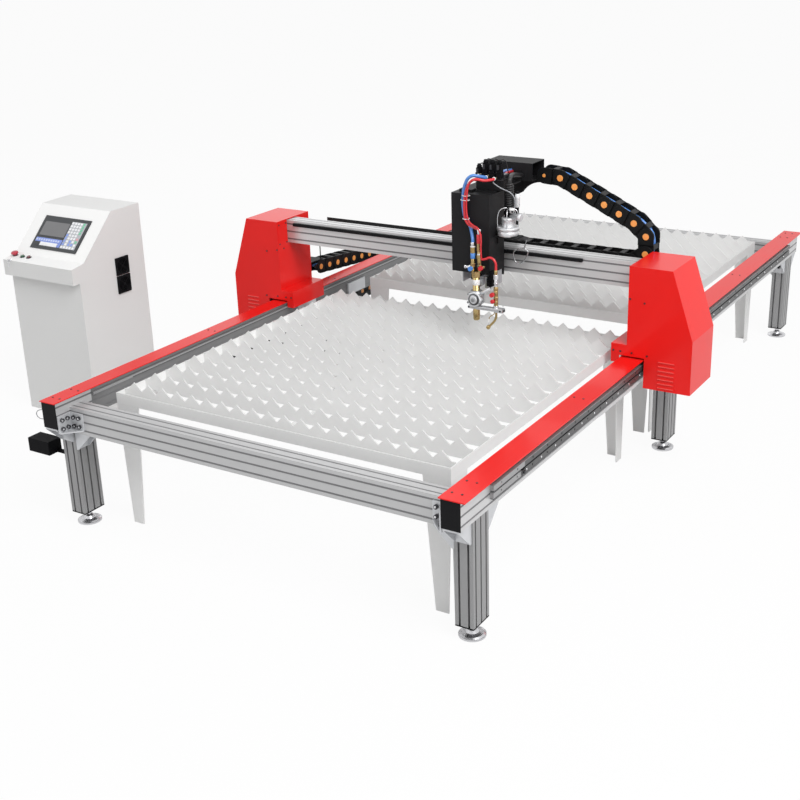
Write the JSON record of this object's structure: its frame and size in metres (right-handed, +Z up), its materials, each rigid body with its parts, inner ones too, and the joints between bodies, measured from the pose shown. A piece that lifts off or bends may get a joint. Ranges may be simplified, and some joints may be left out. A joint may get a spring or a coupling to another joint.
{
  "type": "cnc plasma table",
  "caption": "Gantry plate-cutting table: slotted aluminium frame with red covers, toothed slat beds, torch carriage, cable chains and a sloped floor console.",
  "frame": {"origin": "floor level, at the middle of the whole set's outline, console included", "axes": "+X to the right as the operator faces the machine's front end, +Y from the front end to the rear along the rails, +Z up"},
  "size_m": [3.626, 4.296, 1.486],
  "materials": {
    "aluminium_profile": "natural anodised, fine lengthwise grain",
    "red_gloss": "gloss red powder coat",
    "black_coat": "satin black powder coat",
    "black_plastic": "moulded black nylon",
    "cast_aluminium": "sand-blasted die casting",
    "zinc_steel": "bright zinc plate",
    "black_steel": "blackened steel",
    "dark_steel": "ground and oiled steel",
    "bed_grey": "pale grey painted sheet steel",
    "console_grey": "pale grey textured powder coat",
    "panel_grey": "dark grey moulded bezel",
    "button_red": "gloss red plastic",
    "button_green": "gloss green plastic",
    "button_dark": "gloss dark red plastic",
    "motor_black": "satin black enamel",
    "torch_brass": "turned brass, partly plated",
    "knob_blue": "gloss blue plastic",
    "knob_red": "gloss red plastic",
    "valve_grey": "machined alloy",
    "hose_rubber": "rubber gas hose"
  },
  "bodies": {
    "table": {"rail_left": "aluminium_profile", "rail_right": "aluminium_profile", "profile_caps": "black_plastic", "cover_left": "red_gloss", "cover_right": "red_gloss", "crossbeams": "aluminium_profile", "legs": "aluminium_profile", "cast_brackets": "cast_aluminium", "frame_bolts": "black_steel", "rail_guides": "dark_steel", "racks": "dark_steel", "junction_box": "black_plastic", "ychain_tray": "black_coat", "ychain_lower": "black_plastic", "bed_front_frame": "bed_grey", "bed_front_slats": "bed_grey", "bed_rear_frame": "bed_grey", "bed_rear_slats": "bed_grey", "console_body": "console_grey", "console_panel": "panel_grey", "fan_grilles": "black_plastic"},
    "gantry": {"beam": "aluminium_profile", "beam_guide": "black_steel", "gantry_ends": "aluminium_profile", "gantry_drives": "motor_black", "housing_left": "red_gloss", "housing_right": "red_gloss", "housing_screws": "black_steel", "xchain_tray": "black_coat", "xchain_lower": "black_plastic", "ychain_arm": "black_coat", "ychain_upper": "black_plastic"},
    "carriage": {"carriage_plate": "black_coat", "torch_box": "black_coat", "trunking": "black_coat", "gas_valves": "valve_grey", "regulator": "zinc_steel", "xchain_upper": "black_plastic", "hoses": "hose_rubber"},
    "torch": {"lifter_slide": "valve_grey", "cutting_torch": "torch_brass", "pilot_torch": "torch_brass"},
    "ychain_bend": {"ychain_bend": "black_plastic"},
    "xchain_bend": {"xchain_bend": "black_plastic"},
    "pinion_left": {"pinion_left": "zinc_steel"},
    "pinion_right": {"pinion_right": "zinc_steel"},
    "knob_oxygen": {"knob_oxygen": "knob_blue"},
    "knob_fuel": {"knob_fuel": "knob_red"},
    "knob_pilot": {"knob_pilot": "knob_red"},
    "estop": {"estop": "button_red"},
    "button_start": {"button_start": "button_green"},
    "button_stop": {"button_stop": "button_dark"},
    "fan_upper": {"fan_upper": "black_plastic"},
    "fan_lower": {"fan_lower": "black_plastic"},
    "foot_fl": {"foot_fl": "zinc_steel"},
    "foot_fr": {"foot_fr": "zinc_steel"},
    "foot_ml": {"foot_ml": "zinc_steel"},
    "foot_mr": {"foot_mr": "zinc_steel"},
    "foot_rl": {"foot_rl": "zinc_steel"},
    "foot_rr": {"foot_rr": "zinc_steel"}
  },
  "joints": [
    {"name": "gantry_y", "type": "slide", "parent": "table", "child": "gantry", "axis": [0, 1, 0], "range_m": [-1.4, 1.9], "deforming": ["ychain_upper", "ychain_lower"]},
    {"name": "carriage_x", "type": "slide", "parent": "gantry", "child": "carriage", "axis": [1, 0, 0], "range_m": [-1, 0.36], "deforming": ["xchain_upper", "xchain_lower"]},
    {"name": "torch_z", "type": "slide", "parent": "carriage", "child": "torch", "axis": [0, 0, 1], "range_m": [-0.07, 0.008], "deforming": ["hoses"]},
    {"name": "ychain_bend", "type": "slide", "parent": "table", "child": "ychain_bend", "axis": [0, 1, 0], "range_m": [-0.75, 1]},
    {"name": "xchain_bend", "type": "slide", "parent": "gantry", "child": "xchain_bend", "axis": [1, 0, 0], "range_m": [-0.55, 0.2]},
    {"name": "pinion_left", "type": "hinge", "parent": "gantry", "child": "pinion_left", "pos_m": [-0.538, -0.35, 0.5315], "axis": [1, 0, 0], "range_deg": [-4100, 5500]},
    {"name": "pinion_right", "type": "hinge", "parent": "gantry", "child": "pinion_right", "pos_m": [1.582, -0.35, 0.5315], "axis": [1, 0, 0], "range_deg": [-4100, 5500]},
    {"name": "knob_oxygen", "type": "hinge", "parent": "torch", "child": "knob_oxygen", "pos_m": [0.778, -0.637, 1.003], "axis": [0, -1, 0], "range_deg": [-270, 270]},
    {"name": "knob_fuel", "type": "hinge", "parent": "torch", "child": "knob_fuel", "pos_m": [0.832, -0.637, 1.011], "axis": [0, -1, 0], "range_deg": [-270, 270]},
    {"name": "knob_pilot", "type": "hinge", "parent": "torch", "child": "knob_pilot", "pos_m": [0.888, -0.637, 0.888], "axis": [0, -1, 0], "range_deg": [-270, 270]},
    {"name": "estop_press", "type": "slide", "parent": "table", "child": "estop", "axis": [0, 0.1662, -0.9861], "range_m": [0, 0.005], "stiffness_N_per_m": 900, "springref_m": -0.002},
    {"name": "button_start_press", "type": "slide", "parent": "table", "child": "button_start", "axis": [0, 0.1662, -0.9861], "range_m": [0, 0.004], "stiffness_N_per_m": 900, "springref_m": -0.002},
    {"name": "button_stop_press", "type": "slide", "parent": "table", "child": "button_stop", "axis": [0, 0.1662, -0.9861], "range_m": [0, 0.004], "stiffness_N_per_m": 900, "springref_m": -0.002},
    {"name": "fan_upper_spin", "type": "hinge", "parent": "table", "child": "fan_upper", "pos_m": [-1.318, -0.801, 0.81], "axis": [1, 0, 0], "continuous": true},
    {"name": "fan_lower_spin", "type": "hinge", "parent": "table", "child": "fan_lower", "pos_m": [-1.318, -0.801, 0.708], "axis": [1, 0, 0], "continuous": true},
    {"name": "foot_fl_turn", "type": "hinge", "parent": "table", "child": "foot_fl", "pos_m": [-0.478, -1.99, 0.03], "axis": [0, 0, 1], "continuous": true},
    {"name": "foot_fr_turn", "type": "hinge", "parent": "table", "child": "foot_fr", "pos_m": [1.522, -1.99, 0.03], "axis": [0, 0, 1], "continuous": true},
    {"name": "foot_ml_turn", "type": "hinge", "parent": "table", "child": "foot_ml", "pos_m": [-0.478, 0, 0.03], "axis": [0, 0, 1], "continuous": true},
    {"name": "foot_mr_turn", "type": "hinge", "parent": "table", "child": "foot_mr", "pos_m": [1.522, 0, 0.03], "axis": [0, 0, 1], "continuous": true},
    {"name": "foot_rl_turn", "type": "hinge", "parent": "table", "child": "foot_rl", "pos_m": [-0.478, 1.99, 0.03], "axis": [0, 0, 1], "continuous": true},
    {"name": "foot_rr_turn", "type": "hinge", "parent": "table", "child": "foot_rr", "pos_m": [1.522, 1.99, 0.03], "axis": [0, 0, 1], "continuous": true}
  ],
  "couplings": [
    {"joint": "ychain_bend", "follows": "gantry_y", "ratio": 0.5},
    {"joint": "xchain_bend", "follows": "carriage_x", "ratio": 0.5},
    {"joint": "pinion_left", "follows": "gantry_y", "rad_per_m": 50},
    {"joint": "pinion_right", "follows": "gantry_y", "rad_per_m": 50}
  ]
}
